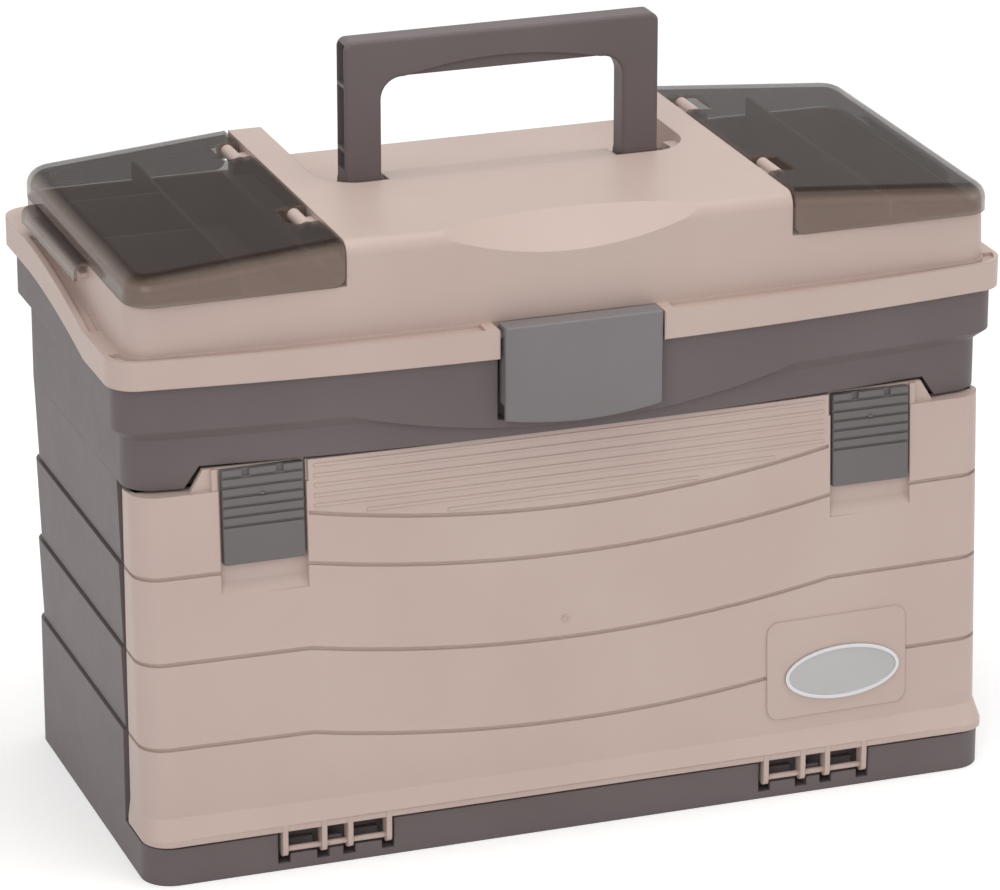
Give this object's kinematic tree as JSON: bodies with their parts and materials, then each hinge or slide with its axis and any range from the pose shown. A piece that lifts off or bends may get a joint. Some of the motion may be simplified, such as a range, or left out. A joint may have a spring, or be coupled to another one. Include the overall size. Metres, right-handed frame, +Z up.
{
  "type": "fishing tackle cabinet",
  "caption": "Moulded tackle cabinet: bowed drop-down front door over drawers, upper bin, hinged lid with see-through access doors and a folding handle.",
  "frame": {"origin": "bottom centre of the cabinet at rest, lid shut, handle up", "axes": "+X along the cabinet's length to the right of someone facing the front door, +Y from front to back, +Z up"},
  "size_m": [0.508, 0.248, 0.4215],
  "materials": {
    "sand_plastic": "fine-grained moulded plastic, sand beige",
    "graphite_plastic": "satin moulded plastic, warm graphite",
    "latch_plastic": "satin moulded plastic, cool grey",
    "smoke_plastic": "polished translucent smoke plastic",
    "tray_plastic": "moulded plastic, sand beige",
    "divider_plastic": "natural white moulded plastic",
    "steel": "plain steel wire",
    "badge_foil": "satin silver, left bare"
  },
  "bodies": {
    "cabinet": {"cabinet_shell": "graphite_plastic", "upper_bin": "graphite_plastic", "lid_hinge_pins": "steel"},
    "lid": {"lid": "sand_plastic", "handle_pins": "steel", "lid_latch_pin": "steel"},
    "handle": {"carry_handle": "graphite_plastic"},
    "left_access": {"left_access_door": "smoke_plastic"},
    "right_access": {"right_access_door": "smoke_plastic"},
    "lid_latch_flap": {"lid_latch": "latch_plastic"},
    "front_door_panel": {"front_door": "sand_plastic", "badge_plate": "badge_foil"},
    "left_slide": {"left_door_latch": "latch_plastic"},
    "right_slide": {"right_door_latch": "latch_plastic"},
    "tray_1": {"drawer_1": "tray_plastic", "drawer_1_dividers": "divider_plastic"},
    "tray_2": {"drawer_2": "tray_plastic", "drawer_2_dividers": "divider_plastic"},
    "tray_3": {"drawer_3": "tray_plastic", "drawer_3_dividers": "divider_plastic"},
    "tray_4": {"drawer_4": "tray_plastic", "drawer_4_dividers": "divider_plastic"}
  },
  "joints": [
    {"name": "lid_hinge", "type": "hinge", "parent": "cabinet", "child": "lid", "pos_m": [0, 0.1182, 0.2975], "axis": [-1, 0, 0], "range_deg": [0, 95]},
    {"name": "handle_fold", "type": "hinge", "parent": "lid", "child": "handle", "pos_m": [0, 0.012, 0.339], "axis": [-1, 0, 0], "range_deg": [0, 90]},
    {"name": "left_access_hinge", "type": "hinge", "parent": "lid", "child": "left_access", "pos_m": [-0.1345, 0, 0.3435], "axis": [0, 1, 0], "range_deg": [0, 105]},
    {"name": "right_access_hinge", "type": "hinge", "parent": "lid", "child": "right_access", "pos_m": [0.1345, 0, 0.3435], "axis": [0, -1, 0], "range_deg": [0, 105]},
    {"name": "lid_latch_flip", "type": "hinge", "parent": "lid", "child": "lid_latch_flap", "pos_m": [0, -0.116, 0.29], "axis": [-1, 0, 0], "range_deg": [0, 100]},
    {"name": "front_door_hinge", "type": "hinge", "parent": "cabinet", "child": "front_door_panel", "pos_m": [0, -0.117, 0.012], "axis": [1, 0, 0], "range_deg": [0, 90]},
    {"name": "left_latch_slide", "type": "slide", "parent": "front_door_panel", "child": "left_slide", "axis": [0, -0.0461, -0.9989], "range_m": [0, 0.01]},
    {"name": "right_latch_slide", "type": "slide", "parent": "front_door_panel", "child": "right_slide", "axis": [0, -0.0461, -0.9989], "range_m": [0, 0.01]},
    {"name": "drawer_1_slide", "type": "slide", "parent": "cabinet", "child": "tray_1", "axis": [0, -1, 0], "range_m": [0, 0.0409]},
    {"name": "drawer_2_slide", "type": "slide", "parent": "cabinet", "child": "tray_2", "axis": [0, -1, 0], "range_m": [0, 0.1414]},
    {"name": "drawer_3_slide", "type": "slide", "parent": "cabinet", "child": "tray_3", "axis": [0, -1, 0], "range_m": [0, 0.1414]},
    {"name": "drawer_4_slide", "type": "slide", "parent": "cabinet", "child": "tray_4", "axis": [0, -1, 0], "range_m": [0, 0.1414]}
  ],
  "couplings": [
    {"joint": "drawer_1_slide", "follows": "front_door_hinge", "m_per_rad": 0.026},
    {"joint": "drawer_2_slide", "follows": "front_door_hinge", "m_per_rad": 0.09},
    {"joint": "drawer_3_slide", "follows": "front_door_hinge", "m_per_rad": 0.09},
    {"joint": "drawer_4_slide", "follows": "front_door_hinge", "m_per_rad": 0.09}
  ]
}
